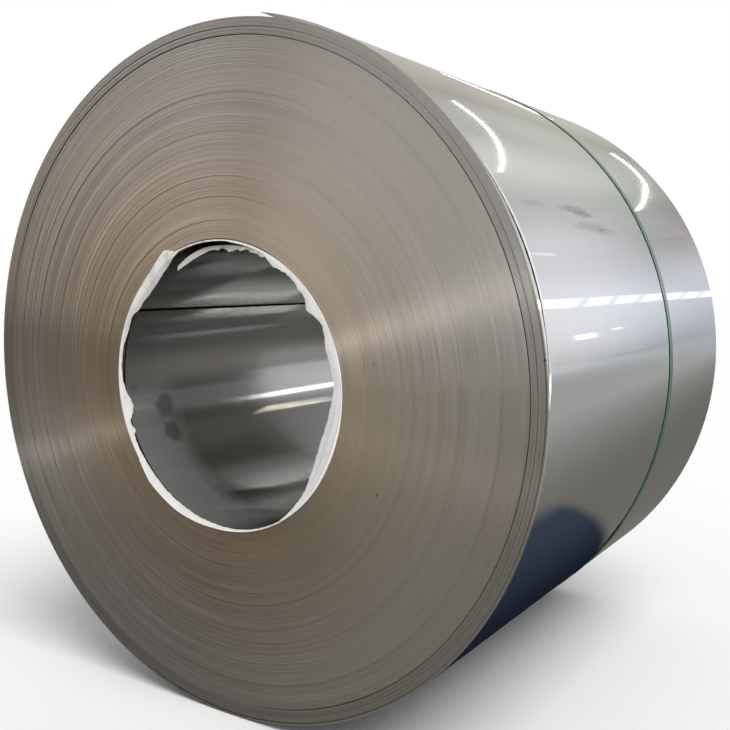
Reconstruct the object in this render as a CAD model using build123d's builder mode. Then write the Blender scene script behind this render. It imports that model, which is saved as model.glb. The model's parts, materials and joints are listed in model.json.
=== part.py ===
import os
from math import cos, degrees, radians, sin

from build123d import *

# A coil of bright steel strip, lying on its round side with its axis along Y and its front end towards -Y.
# The origin is on the floor, under the middle of the coil. Lengths are in millimetres, angles in degrees,
# and an angle on the coil's section is counted from +X towards +Z, as seen from the front.

# The strip and the coil it is wound into
bore_diameter = 508
outer_diameter = 1226
strip_width = 1000
strip_gauge = 2.0

# Outer end of the strip, which springs off the turn beneath it near the top
tail_angle = 80
tail_free_arc = 14
tail_lift = 3.0
tail_root_gap = 0.4

# Front edge of the last turn, which wanders back from the end face on the right
edge_setback = 17
edge_setback_angle = 20
edge_setback_half_arc = 30

# Inner end of the strip, with the hollow that is left where the second turn climbs over it
head_angle = 149
head_climb_arc = 25

# Turns at the front of the bore that were pushed in when the mandrel was drawn out
pushed_in_turns = 2
mouth_depth = 34

# Groups of turns that drifted along the axis while the strip was wound, from the bore outwards
last_turns_build = 30
winding_drift = 2.0
group_end_shares = (0.05, 0.13, 0.22, 0.33, 0.42, 0.55, 0.63, 0.74, 0.87, 1.0)
group_drift_shares = (0.25, -0.2, 0.45, 0.0, -0.55, 0.3, -0.15, 0.5, -0.35, 0.7)

# Slack turn under the last ones, open at both ends of the coil
slack_width = 2.6
slack_depth = 9

# Plastic strap around the coil, welded where its ends lie over each other
strap_width = 19
strap_thickness = 1.0
strap_clearance = 0.25
strap_from_middle = 119
strap_bridge_arc = 9
weld_angle = -33
weld_length = 62

# Paper collar in the mouth of the bore, with a flap folded across the opening
paper_thickness = 0.6
paper_clearance = 0.3
paper_standout = 5
flap_angle = -17
flap_reach = 39.7

# How far every cut runs past the faces that it opens
overrun = 5

bore_radius = bore_diameter / 2
outer_radius = outer_diameter / 2
half_width = strip_width / 2
core_radius = outer_radius - last_turns_build
mouth_radius = bore_radius + pushed_in_turns * strip_gauge
full_turn = 360


def wound(angle):
    """Radius of the last turn's outer surface, for an angle up to one turn past the foot of the tail."""
    return outer_radius - strip_gauge + strip_gauge * (angle - tail_angle) / full_turn


def at(radius, angle):
    """Point of the coil's section."""
    return (radius * cos(radians(angle)), radius * sin(radians(angle)))


# The coil hangs on nothing: the strap under its lowest point lies on the floor
bottom_angle = 270
axis_height = wound(bottom_angle) + strap_clearance + strap_thickness

# Section across the axis, seen from the front, and section along it
section = Plane(origin=(0, 0, axis_height), x_dir=(1, 0, 0), z_dir=(0, -1, 0))
lengthwise = Plane(origin=(0, 0, axis_height), x_dir=(1, 0, 0), z_dir=(0, 0, 1))
coil_axis = Axis((0, 0, axis_height), (0, 1, 0))

# Places along the last turn: foot of the tail, thirds of the turn, where the tail leaves, and its tip
tail_tip = tail_angle + full_turn
tail_leaves = tail_tip - tail_free_arc
tail_middle = tail_tip - tail_free_arc / 2
middle_lift_share = 0.25


def last_turn(start, standoff):
    """Arcs along the last turn, from a start angle round to the tip of the tail."""
    reach = tail_leaves - start
    for third in range(3):
        ends = [start + reach * (third + step / 2) / 3 for step in range(3)]
        ThreePointArc(*[at(wound(angle) + standoff, angle) for angle in ends])
    ThreePointArc(
        at(wound(tail_leaves) + standoff, tail_leaves),
        at(wound(tail_middle) + tail_lift * middle_lift_share + standoff, tail_middle),
        at(wound(tail_tip) + tail_lift + standoff, tail_tip),
    )


def around_coil(standoff):
    """Closed outline of a band pulled tight over the last turn and straight off the tip of the tail."""
    lands = tail_angle + strap_bridge_arc
    last_turn(lands, standoff)
    Line(at(wound(tail_tip) + tail_lift + standoff, tail_tip), at(wound(lands) + standoff, lands))


# Coil: the turned core, the last turns with the sprung tail, and the cuts that the winding leaves
with BuildPart() as coil:
    # Last turns, one spiral turn with the step of the strip's end
    with BuildSketch(section) as last_turns:
        with BuildLine():
            last_turn(tail_angle, 0)
            tip = wound(tail_tip) + tail_lift
            Line(at(tip, tail_tip), at(tip - strip_gauge, tail_tip))
            root = wound(tail_leaves) - strip_gauge
            ThreePointArc(
                at(tip - strip_gauge, tail_tip),
                at(wound(tail_middle) + tail_lift * middle_lift_share - strip_gauge + tail_root_gap / 2, tail_middle),
                at(root + tail_root_gap, tail_leaves),
            )
            Line(at(root + tail_root_gap, tail_leaves), at(root, tail_leaves))
            ThreePointArc(
                at(root, tail_leaves),
                at(wound(tail_middle) - strip_gauge, tail_middle),
                at(wound(tail_angle), tail_angle),
            )
        make_face()
        Circle(core_radius, mode=Mode.SUBTRACT)
    extrude(amount=half_width, both=True)
    # Core of the coil, stepped on both ends where the groups of turns drifted
    core_build = core_radius - bore_radius
    front_edge = []
    back_edge = []
    start = bore_radius
    for end_share, drift_share in zip(group_end_shares, group_drift_shares):
        end = bore_radius + core_build * end_share
        drift = winding_drift * drift_share
        front_edge += [(start, drift - half_width), (end, drift - half_width)]
        back_edge += [(start, drift + half_width), (end, drift + half_width)]
        start = end
    with BuildSketch(lengthwise):
        with BuildLine():
            Polyline(*front_edge, *reversed(back_edge), close=True)
        make_face()
    revolve(axis=coil_axis)
    # Slack turn, a narrow groove on both ends just inside the last turns
    with BuildSketch(lengthwise):
        for side in (-1, 1):
            with Locations((core_radius + slack_width / 2, side * half_width)):
                Rectangle(slack_width, 2 * slack_depth)
    revolve(axis=coil_axis, mode=Mode.SUBTRACT)
    # Mouth of the bore, where the innermost turns stand back
    with BuildSketch(section.offset(half_width - mouth_depth)):
        Circle(mouth_radius)
    extrude(amount=mouth_depth + winding_drift + overrun, mode=Mode.SUBTRACT)
    # Hollow beside the inner end of the strip, running the whole width
    with BuildSketch(section):
        with BuildLine():
            climb_end = head_angle - head_climb_arc
            climb_middle = head_angle - head_climb_arc / 2
            climb_share = 0.4
            ThreePointArc(
                at(bore_radius + strip_gauge, head_angle),
                at(bore_radius + strip_gauge * climb_share, climb_middle),
                at(bore_radius, climb_end),
            )
            Line(at(bore_radius, climb_end), at(bore_radius - overrun, climb_end))
            Line(at(bore_radius - overrun, climb_end), at(bore_radius - overrun, head_angle))
            Line(at(bore_radius - overrun, head_angle), at(bore_radius + strip_gauge, head_angle))
        make_face()
    extrude(amount=half_width + winding_drift + overrun, both=True, mode=Mode.SUBTRACT)

# Piece of the last turn that is missing in front of its wandering edge
with BuildPart() as missing_edge:
    toward = (cos(radians(edge_setback_angle)), 0, sin(radians(edge_setback_angle)))
    upright = (-sin(radians(edge_setback_angle)), 0, cos(radians(edge_setback_angle)))
    runs_out = outer_radius * cos(radians(edge_setback_half_arc))
    past = outer_radius + overrun
    slope = edge_setback / (outer_radius - runs_out)
    with BuildSketch(Plane(origin=(0, 0, axis_height), x_dir=toward, z_dir=upright)):
        with BuildLine():
            Polyline(
                (runs_out, -half_width - overrun),
                (past, -half_width - overrun),
                (past, slope * (past - runs_out) - half_width),
                (runs_out, -half_width),
                close=True,
            )
        make_face()
    extrude(amount=outer_radius, both=True)
    with BuildSketch(section):
        Circle(wound(edge_setback_angle + full_turn) - strip_gauge)
    extrude(amount=strip_width, both=True, mode=Mode.SUBTRACT)

with coil:
    add(missing_edge.part, mode=Mode.SUBTRACT)

# Strap, a flat band that bridges the step at the tail
with BuildPart() as strap:
    with BuildSketch(section.offset(-strap_from_middle)):
        with BuildLine():
            around_coil(strap_clearance + strap_thickness)
        make_face()
        with BuildLine():
            around_coil(strap_clearance)
        make_face(mode=Mode.SUBTRACT)
        # Outer end of the strap, lying over the inner one at the weld
        with BuildLine():
            half_weld = degrees(weld_length / outer_diameter)
            weld = weld_angle + full_turn
            low = strap_clearance + strap_thickness / 2
            high = strap_clearance + 2 * strap_thickness
            sweep_out = (weld - half_weld, weld, weld + half_weld)
            ThreePointArc(*[at(wound(angle) + low, angle) for angle in sweep_out])
            ThreePointArc(*[at(wound(angle) + high, angle) for angle in sweep_out])
            for angle in (weld - half_weld, weld + half_weld):
                Line(at(wound(angle) + low, angle), at(wound(angle) + high, angle))
        make_face()
    extrude(amount=strap_width / 2, both=True)

# Paper collar: a sleeve standing on the pushed-in turns, and the flap at its front edge
with BuildPart() as bore_paper:
    paper_radius = mouth_radius - paper_clearance
    with BuildSketch(section.offset(half_width - mouth_depth)):
        Circle(paper_radius)
        Circle(paper_radius - paper_thickness, mode=Mode.SUBTRACT)
    extrude(amount=mouth_depth + paper_standout)
    with BuildSketch(section.offset(half_width + paper_standout)):
        Circle(paper_radius)
        with Locations(at(-flap_reach, flap_angle)):
            Rectangle(2 * paper_radius, 2 * paper_radius, rotation=flap_angle, mode=Mode.SUBTRACT)
    extrude(amount=-paper_thickness)

coil.part.label = "coil"
strap.part.label = "strap"
bore_paper.part.label = "bore_paper"

os.makedirs("parts", exist_ok=True)
export_step(coil.part, "parts/coil.step")
export_step(strap.part, "parts/strap.step")
export_step(bore_paper.part, "parts/bore_paper.step")
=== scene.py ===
# %% [markdown]
# # A coil of bright steel strip
# The object is one long strip of cold-rolled steel, wound into a coil that lies on its round side. A green plastic
# strap holds it shut, and a torn paper collar stands in the mouth of its bore. The imported frame gives every size
# and place, so it is loaded first.

# %% Load the frame
import json
from math import cos, degrees, hypot, pi, radians, sin

import bmesh
import bpy
from mathutils import Matrix, Vector, noise


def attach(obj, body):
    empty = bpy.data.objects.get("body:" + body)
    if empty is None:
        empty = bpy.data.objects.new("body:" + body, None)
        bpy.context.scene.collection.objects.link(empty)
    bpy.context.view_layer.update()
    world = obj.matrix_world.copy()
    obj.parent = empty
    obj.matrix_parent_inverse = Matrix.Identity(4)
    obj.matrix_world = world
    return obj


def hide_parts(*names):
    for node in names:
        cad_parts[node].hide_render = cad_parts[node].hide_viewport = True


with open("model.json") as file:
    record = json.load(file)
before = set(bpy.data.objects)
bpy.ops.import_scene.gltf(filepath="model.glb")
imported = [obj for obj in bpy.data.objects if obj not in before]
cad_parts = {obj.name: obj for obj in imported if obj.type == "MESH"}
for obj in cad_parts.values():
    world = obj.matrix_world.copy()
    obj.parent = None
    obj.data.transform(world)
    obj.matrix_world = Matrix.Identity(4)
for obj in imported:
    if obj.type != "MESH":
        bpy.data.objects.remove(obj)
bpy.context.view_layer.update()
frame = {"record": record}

# %% [markdown]
# ## Sizes
# The strip is one spiral. Its place is given by the angle on the coil's section, counted from +X towards +Z as seen
# from the front, and by how many turns lie under it. The bore's mount gives the axis and the bore's radius, and the
# thickness of the strip follows from the number of turns between the bore and the tail.

# %% Sizes of the strip
bore_mount = next(mount for mount in frame["record"]["mounts"] if mount["name"] == "bore")
axis_z = bore_mount["pos_m"][2]
axis_point = Vector((0, 0, axis_z))
bore_radius = bore_mount["dims"]["r_mm"] / 1000
tail_radius, half_width = 0.613, 0.5
head_angle, tail_angle = 149.0, 80.0
full_turns = 178
turns = full_turns + (tail_angle + 360 - head_angle) / 360
gauge = (tail_radius - bore_radius) / (turns + 1)


def turn_at(angle):
    """Turns of strip from its inner end to an angle."""
    return (angle - head_angle) / 360


def under_radius(turn):
    """Radius of the strip's underside, a number of turns from its inner end."""
    return bore_radius + gauge * turn


def on_section(radius, angle, y):
    """Point of the coil at a radius, an angle in degrees and a place along the axis."""
    return Vector((radius * cos(radians(angle)), y, axis_z + radius * sin(radians(angle))))


print(f"{turns:.2f} turns of strip, {gauge * 1000:.3f} mm thick")

# %% [markdown]
# ## How the turns lie
# No coil is wound quite true. Groups of turns drift along the axis, single turns slip back between tighter ones, and
# the shears leave every edge rolled over towards its outer side. A bump map could show this, but it would stay flat
# at the outline and in the grooves. All of it belongs to the strip itself, so it is a function of the turns under a
# place, and it changes slowly along the strip. That makes the rings on the ends fade in and out.

# %% Drift of the strip's edges
# outer ends of the groups in millimetres from the bore, and how far each group stands back, as a share
group_ends = (16.5, 42.5, 72, 108, 138, 180.5, 207, 243, 286, 329)
group_drifts = (0.25, -0.2, 0.45, 0.0, -0.55, 0.3, -0.15, 0.5, -0.35, 0.7)
group_step, fine_drift, coarse_drift, all_back = 0.0008, 0.00036, 0.00022, 0.0002


def drift(turn):
    """How far the strip stands towards the back, in metres."""
    build = turn * gauge * 1000
    shift = next((value for end, value in zip(group_ends, group_drifts) if build < end), 0.0)
    fine = noise.noise(Vector((turn * 0.83, 3.1, 0.0))) * fine_drift
    coarse = noise.noise(Vector((turn * 0.11, 7.7, 0.0))) * coarse_drift
    return shift * group_step + fine + coarse + all_back


drifts = [drift(turn) * 1000 for turn in range(full_turns)]
print(f"edges stand between {min(drifts):.2f} and {max(drifts):.2f} mm back")

# %% Slack turns and rolled edges
# turns that have slipped back between tighter ones: first and last turn count, and how deep
loose_turns = (
    (164.34, 165.04, 0.0045), (170.30, 170.95, 0.0017), (176.25, 176.66, 0.0025), (158.00, 158.60, 0.0008),
    (145.95, 146.25, 0.0009), (142.95, 143.30, 0.0007), (135.95, 136.30, 0.0007), (130.90, 131.25, 0.0008),
    (120.95, 121.25, 0.0007), (36.20, 36.90, 0.0010), (16.80, 17.40, 0.0010),
)
slip_ramp = 0.06


def slip(turn):
    """How far a loose turn lies back from its neighbours, in metres."""
    for start, end, depth in loose_turns:
        if start < turn < end:
            return depth * min(1.0, (turn - start) / slip_ramp, (end - turn) / slip_ramp)
    return 0.0


def edge_roll(turn):
    """How far the outer corner of the sheared edge lies back from its middle, in metres."""
    return 0.00021 + noise.noise(Vector((turn * 0.71, 11.3, 0.0))) * 0.00017


print(len(loose_turns), "slack places, the deepest", max(row[2] for row in loose_turns) * 1000, "mm")

# %% [markdown]
# ## One helper for every round piece
# Everything on a coil goes around its axis, so each piece starts as a section that is spun with bmesh. A spin alone
# would give a plain ring, so afterwards every vertex is set again from its spot in the section and its angle. An
# integer layer carries the spot's number, because a spin copies it along with the vertex. A spin that merges its
# ends frees some vertices, so it comes last in its mesh, where no later vertex can take their places.

# %% Spin a section and set its points
def spin_section(bm, spots, start, end, steps, place, closed=True, caps=False, merge=False):
    """Spins a section from one angle to another. place gives a point from a spot and an angle."""
    number_of = bm.verts.layers.int.get("spot") or bm.verts.layers.int.new("spot")
    before, faces_before = len(bm.verts), set(bm.faces)
    verts = []
    for number, spot in enumerate(spots):
        vert = bm.verts.new(place(spot, start))
        vert[number_of] = number
        verts.append(vert)
    edges = [bm.edges.new(pair) for pair in zip(verts, verts[1:] + (verts[:1] if closed else []))]
    made = bmesh.ops.spin(bm, geom=verts + edges, cent=axis_point, axis=(0, -1, 0), dvec=(0, 0, 0),
                          angle=radians(end - start), steps=steps, use_merge=merge, use_duplicate=False)
    bm.verts.ensure_lookup_table()
    for index in range(before, len(bm.verts)):
        vert = bm.verts[index]
        step = (index - before) // len(spots)
        vert.co = place(spots[vert[number_of]], start + (end - start) * step / steps)
    if caps:
        last = [item for item in made["geom_last"] if isinstance(item, bmesh.types.BMVert)]
        bm.faces.new(verts)
        bm.faces.new(sorted(last, key=lambda vert: vert[number_of]))
    return [face for face in bm.faces if face not in faces_before]


print("spin helper ready, around the axis at", tuple(axis_point))


# %% Make a piece of a finished mesh
crease_angle = 32


def finish_mesh(name, bm, materials):
    """Turns a bmesh into a piece that rides on the coil's one body, with creases kept sharp."""
    bm.normal_update()
    for edge in bm.edges:
        edge.smooth = not (edge.is_manifold and edge.calc_face_angle(0) > radians(crease_angle))
    for face in bm.faces:
        face.smooth = True
    mesh = bpy.data.meshes.new(name)
    bm.to_mesh(mesh)
    bm.free()
    piece = bpy.data.objects.new(name, mesh)
    bpy.context.scene.collection.objects.link(piece)
    for material in materials:
        mesh.materials.append(material)
    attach(piece, "root")
    triangles = sum(len(polygon.vertices) - 2 for polygon in mesh.polygons)
    print(name, len(mesh.vertices), "vertices", triangles, "triangles")
    return piece


def new_material(name):
    """Empty material. Its nodes come further down, with the finishes."""
    material = bpy.data.materials.new(name)
    material.use_nodes = True
    material.node_tree.nodes.clear()
    return material


strip_face = new_material("bright_strip")
bore_face = new_material("bore_strip")
strip_edge = new_material("wound_edges")
strap_plastic = new_material("green_strap")
collar_paper = new_material("white_paper")
print("materials:", [material.name for material in bpy.data.materials])

# %% [markdown]
# ## The first turns
# The first two turns have slid back into the bore, and the strip's inner end stands off the wall and throws the dark
# line that runs along the bore. They could be a groove in one tube, but then the end would have no thickness. So they
# are a plate of their own: a flat bar section, spun along the spiral.

# %% Spin the first two turns
pushed_in = 0.008
head_spring, head_arc = 0.0028, 11


def bar_spots(shares):
    """Spots of a flat bar section: share of its width, and 0 for the underside or 1 for the top."""
    return [(share, 0) for share in shares] + [(share, 1) for share in reversed(shares)]


def first_place(spot, angle):
    """Point of the first two turns, which spring inwards at the strip's end."""
    share, side = spot
    turn = turn_at(angle)
    spring = head_spring * max(0.0, 1 - turn * 360 / head_arc) ** 2
    front, back = pushed_in - half_width, half_width
    return on_section(under_radius(turn + side) - spring, angle, drift(turn) + front + (back - front) * share)


bm = bmesh.new()
first_shares = (0.0, 0.3, 0.6, 1.0)
spin_section(bm, bar_spots(first_shares), head_angle, head_angle + 720, 240, first_place, caps=True)
print("first turns:", len(bm.faces), "faces")

# %% [markdown]
# ## The last turn
# The last turn ends near the top, where its tail has sprung up. On the right its front edge wanders back and bulges,
# and shows the turn beneath. It is again a flat bar along the spiral, because a cut in the wound turns could not lift
# off them. The front corner slopes where the edge is bare, as worn strip does, so that it shines and isn't black.

# %% Spin the last turn
free_arc, tail_rise, tail_thinning = 17 / 360, 0.0042, 0.0013
bare_angle, bare_reach, bare_depth, worn_corner = 20, 18, 0.012, 0.0025
bulge_angle, bulge_reach, bulge_height, bulge_share = 21, 9, 0.0008, 0.06
tail_turn = tail_angle + 360


def window(angle, centre, reach):
    """1 at an angle, and 0 where it is more than the reach away."""
    return max(0.0, (cos(radians(angle - centre)) - cos(radians(reach))) / (1 - cos(radians(reach))))


def tail_free(turn):
    """0 where the last turn lies tight, and 1 at the tip of its sprung tail."""
    return max(0.0, (turn - turns + free_arc) / free_arc)


def tail_lift(turn):
    """How far the tail stands off, in metres."""
    return tail_rise * tail_free(turn) ** 1.6


def last_place(spot, angle):
    """Point of the last turn, which has all the full turns under it."""
    share, side = spot
    turn = turn_at(angle + full_turns * 360)
    bare = window(angle, bare_angle, bare_reach) ** 0.7
    bulge = bulge_height * window(angle, bulge_angle, bulge_reach) * max(0.0, 1 - share / bulge_share) ** 2
    front = drift(turn) - half_width + bare_depth * bare + worn_corner * side * min(1.0, 3 * bare)
    back = drift(turn) + half_width
    thinned = tail_thinning * min(1.0, tail_free(turn) * 3) * (1 - side)
    radius = under_radius(turn + side) + tail_lift(turn) + thinned + bulge
    return on_section(radius, angle, front + (back - front) * share)


last_shares = (0.0, 0.015, 0.04, 0.08, 0.16, 0.3, 0.45, 0.6, 0.75, 0.88, 1.0)
spin_section(bm, bar_spots(last_shares), head_angle, tail_turn, 110, last_place, caps=True)
print("with the last turn:", len(bm.faces), "faces")

# %% [markdown]
# ## The wound turns
# The ends of the coil are the edges of some 180 turns. Closed rings would be simpler, but a coil is one strip. A lathe
# profile with two corners for every turn is spun once around, and each vertex moves out by its share of one thickness.
# The last ring of vertices then falls on the first one a turn further out, and merging them closes one true spiral.

# %% Spin the turns in between
def turn_place(spot, angle):
    """Point of the turns in between: number of the turn, outer or inner corner, back or front end."""
    number, outer, back = spot
    turn = number + turn_at(angle)
    lean = edge_roll(turn) if outer else -edge_roll(turn)
    inset = lean + slip(turn)
    y = half_width - inset if back else inset - half_width
    return on_section(under_radius(turn + outer), angle, drift(turn) + y)


front_spots = [(number, outer, 0) for number in range(2, full_turns) for outer in (0, 1)]
back_spots = [(number, outer, 1) for number, outer, _ in reversed(front_spots)]
body = spin_section(bm, front_spots + back_spots, head_angle, head_angle + 360, 120, turn_place)
bmesh.ops.remove_doubles(bm, verts=list({vert for face in body for vert in face.verts}), dist=2e-6)
bmesh.ops.holes_fill(bm, edges=[edge for edge in bm.edges if edge.is_boundary], sides=0)
bmesh.ops.recalc_face_normals(bm, faces=bm.faces)
print("whole strip:", len(bm.faces), "faces")

# %% [markdown]
# ## Rolled faces and sheared edges
# The strip's faces are bright from the rolls, its edges are sheared. Which is which could be noted for every spot, but
# the worn corner and the ends are made of the same spots, so each face is asked: one that looks along the axis or
# lies in a groove is an edge, and the rest is bright strip outside or in the bore.

# %% Tell the faces apart
short_face, steep_short, steep_long, bore_reach = 0.012, 0.72, 0.5, 0.3
for face in bm.faces:
    centre = face.calc_center_median()
    reach = hypot(centre.x, centre.z - axis_z)
    outward = (centre.x * face.normal.x + (centre.z - axis_z) * face.normal.z) / reach
    places = [vert.co.y for vert in face.verts]
    short = max(places) - min(places) < short_face
    in_groove = short and reach < tail_radius - 1.5 * gauge
    sheared = abs(outward) < (steep_short if short else steep_long) or in_groove
    face.material_index = 2 if sheared else (1 if reach < bore_reach else 0)
coil = finish_mesh("coil_turns", bm, [strip_face, bore_face, strip_edge])
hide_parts("coil")

# %% [markdown]
# ## The strap
# A flat polyester band goes once round the coil and is friction-welded to itself low on the right. It lies on the last
# turn, and bridges the step at the tail in a straight line. A curve with a bevel would do for a plain ring, but not for
# the bridge, so a section with small bevels is spun. The overlapping end is a second, short bar on top.

# %% Course of the strap
strap_y, strap_width, strap_thick, strap_gap = 0.119, 0.019, 0.001, 0.00025
bridge_arc = 9.0


def coil_radius(angle):
    """Radius of the coil's outside, from the foot of the tail to its tip a turn further."""
    turn = turns - 1 + (angle - tail_angle) / 360
    return under_radius(turn + 1) + tail_lift(turn)


def strap_radius(angle):
    """The strap follows the coil, but crosses from the tail's tip in a straight line."""
    angle = (angle - tail_angle) % 360 + tail_angle
    if angle >= tail_angle + bridge_arc:
        return coil_radius(angle)
    tip = on_section(coil_radius(tail_turn), tail_angle, 0) - axis_point
    land = on_section(coil_radius(tail_angle + bridge_arc), tail_angle + bridge_arc, 0) - axis_point
    across = Vector((tip.z - land.z, 0, land.x - tip.x))
    return tip.dot(across) / across.dot(on_section(1.0, angle, 0) - axis_point)


print(f"strap between {strap_radius(tail_angle + bridge_arc):.4f} and {strap_radius(tail_angle):.4f} m from the axis")

# %% Spin the welded lap and the strap
strap_section = ((-0.5, 0.15), (-0.45, 0.0), (0.45, 0.0), (0.5, 0.15),
                 (0.5, 0.85), (0.45, 1.0), (-0.45, 1.0), (-0.5, 0.85))
weld_angle, weld_half = -33.0, degrees(0.062 / 2 / tail_radius)


def strap_place(spot, angle):
    """Point of the strap, from its place across the width and through the thickness."""
    across, up = spot
    return on_section(strap_radius(angle) + strap_gap + up * strap_thick, angle, strap_y + across * strap_width)


def lap_place(spot, angle):
    """Point of the welded lap, which thins out at both ends."""
    across, up = spot
    tip = min(1.0, (weld_half - abs(angle - weld_angle)) / 0.4 + 0.35)
    rise = strap_gap + (1 + 0.95 * up * tip) * strap_thick
    return on_section(strap_radius(angle) + rise, angle, strap_y + across * strap_width)


bm = bmesh.new()
spin_section(bm, strap_section, weld_angle - weld_half, weld_angle + weld_half, 24, lap_place, caps=True)
spin_section(bm, strap_section, tail_angle, tail_turn, 240, strap_place, merge=True)
bmesh.ops.recalc_face_normals(bm, faces=bm.faces)
strap = finish_mesh("strap_band", bm, [strap_plastic])
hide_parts("strap")

# %% [markdown]
# ## The paper collar
# A strip of white paper was laid around the mandrel before winding. Its root is still caught in the mouth of the bore,
# and what stuck out has been folded over: on the left it clings to the wall, on the right it leans across the opening,
# and at the top it is torn to shreds. A cloth simulation would crumple it, but not into this fold, so the section is
# spun from the root over the fold to the torn edge. A table gives the fold and the edge at some angles around the
# bore, and ridged noise creases the sheet between them.

# %% Fold and torn edge around the bore
# angle, then radius and y of the fold, then radius and y of the torn edge, in millimetres
collar_line = (
    (-179.8, 257.9, -501.2, 252.0, -496.7), (-173.8, 257.9, -501.2, 250.0, -490.2),
    (-170.9, 257.9, -501.2, 248.0, -484.7), (-168.1, 257.9, -501.2, 247.4, -481.9),
    (-165.3, 257.9, -501.2, 248.0, -486.2), (-162.2, 257.9, -501.2, 250.5, -493.7),
    (-159.8, 257.9, -501.2, 252.0, -493.9), (-157.6, 257.9, -501.2, 250.0, -489.0),
    (-155.0, 257.9, -501.2, 252.5, -493.7), (-152.4, 257.9, -501.2, 253.0, -495.2),
    (-145.7, 256.9, -502.1, 253.0, -493.8), (-143.8, 256.6, -504.0, 253.0, -493.4),
    (-134.2, 261.0, -506.4, 253.0, -492.4), (-114.7, 260.9, -505.2, 252.5, -492.2),
    (-95.5, 257.0, -502.5, 252.0, -494.6), (-72.2, 257.1, -501.2, 254.6, -500.8),
    (-60.1, 257.0, -501.5, 255.4, -501.7), (-47.9, 256.9, -501.5, 248.6, -502.5),
    (-41.9, 256.8, -501.5, 246.1, -502.7), (-32.7, 256.8, -501.5, 235.9, -503.9),
    (-25.7, 257.3, -501.5, 232.1, -504.4), (-16.7, 259.1, -501.5, 231.2, -504.7),
    (-4.9, 261.0, -501.5, 239.2, -504.0), (3.0, 262.1, -501.5, 246.0, -503.4),
    (7.0, 262.3, -501.5, 246.7, -503.3), (18.5, 262.4, -501.5, 244.3, -503.6),
    (27.5, 261.7, -501.5, 252.7, -502.5), (29.9, 261.5, -501.5, 250.8, -502.7),
    (35.8, 260.7, -501.5, 240.5, -503.8), (37.3, 260.7, -501.5, 242.0, -503.6),
    (39.4, 260.5, -501.5, 247.6, -503.0), (41.4, 260.3, -501.5, 249.0, -502.8),
    (44.4, 260.0, -501.5, 248.3, -502.8), (47.9, 259.8, -501.5, 251.2, -502.4),
    (52.9, 259.3, -501.5, 250.7, -502.4), (59.3, 258.4, -501.5, 244.6, -503.0),
    (66.5, 257.1, -501.5, 254.1, -501.8), (80.0, 256.9, -501.5, 253.5, -501.8),
    (86.1, 257.0, -501.5, 254.7, -501.7), (110.1, 257.2, -501.5, 254.6, -501.8),
    (112.5, 257.2, -501.5, 251.9, -502.1), (115.5, 267.3, -504.9, 247.1, -502.0),
    (117.0, 269.0, -505.4, 245.0, -502.0), (123.0, 262.8, -503.9, 237.0, -502.0),
    (129.2, 258.2, -502.9, 232.4, -501.0), (135.4, 257.4, -501.5, 233.0, -500.0),
    (141.7, 257.7, -501.2, 236.7, -498.0), (144.8, 257.7, -501.2, 239.2, -497.0),
    (148.0, 257.7, -501.2, 244.4, -495.5), (150.1, 257.7, -501.2, 250.5, -494.0),
    (152.3, 257.8, -501.2, 253.0, -492.5), (158.1, 257.8, -501.2, 253.0, -492.1),
    (165.9, 257.1, -501.9, 253.5, -497.6), (171.8, 257.9, -501.2, 253.0, -497.9),
    (174.2, 257.9, -501.2, 252.8, -499.3), (177.2, 257.9, -501.2, 252.3, -497.0),
    (180.2, 257.9, -501.2, 252.0, -496.7),
)
collar_start = collar_line[0][0]


def table_row(table, angle):
    """Row of a table that is sorted by angle, in metres."""
    for low, high in zip(table, table[1:]):
        if low[0] <= angle <= high[0]:
            share = (angle - low[0]) / (high[0] - low[0])
            return [(a + (b - a) * share) / 1000 for a, b in zip(low[1:], high[1:])]


print(len(collar_line), "rows for the collar, at 0 degrees", table_row(collar_line, 0.0))

# %% Points of the collar
root_radius, root_y, wall_radius = 0.2574, -0.493, 0.2575


def crumple(point, size, depth):
    """Sharp creases as in paper that was crushed once."""
    ridge = noise.ridged_multi_fractal(point / size, 0.9, 2.1, 3, 1.0, 2.0)
    return (ridge - 1.0) * depth


def collar_bow(flat, row, angle, width):
    """How far the sheet bows out between its fold and its edge, with its creases."""
    crushed = 0.3 if -148 < angle < -50 else 1.0
    creases = crumple(flat, 0.040, 0.0022) + crumple(flat, 0.013, 0.0007)
    bow = 0.06 * width * sin(pi * row)
    bow += creases * crushed * min(1.0, row * 3) * min(1.0, width / 0.018)
    if 113 < angle < 150:
        bow -= 0.0025 * max(0.0, 1 - abs(row - 0.5) / 0.2)
    if -60 < angle < 62:
        bow -= 0.10 * width * max(0.0, 1 - abs(row - 0.2) / 0.16)
        bow += 0.10 * width * max(0.0, 1 - abs(row - 0.55) / 0.2) * window(angle, -18, 26)
    return bow


def collar_place(row, angle):
    """Rows below 0 are the root in the mouth of the bore, 0 is the fold and 1 the torn edge."""
    angle = (angle - collar_start) % 360 + collar_start
    fold_radius, fold_y, edge_radius, edge_y = table_row(collar_line, angle)
    if row <= 0:
        radius = root_radius + (fold_radius - root_radius) * (1 + row) ** 4
        return on_section(radius, angle, fold_y + (root_y - fold_y) * -row)
    across = Vector((edge_radius - fold_radius, edge_y - fold_y))
    width = across.length
    across /= width
    radius, y = fold_radius + across.x * width * row, fold_y + across.y * width * row
    flat = on_section(radius, angle, y)
    ragged = (noise.noise(flat * 160) * 0.0010 + noise.noise(flat * 420) * 0.0005) * row ** 4
    bow = collar_bow(flat, row, angle, width)
    radius += across.x * ragged - across.y * bow
    y += across.y * ragged + across.x * bow
    return on_section(min(radius, wall_radius) if y > -half_width else radius, angle, y)


print("fold and edge at 0 degrees:", collar_place(0.0, 0.0), collar_place(1.0, 0.0))

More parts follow.
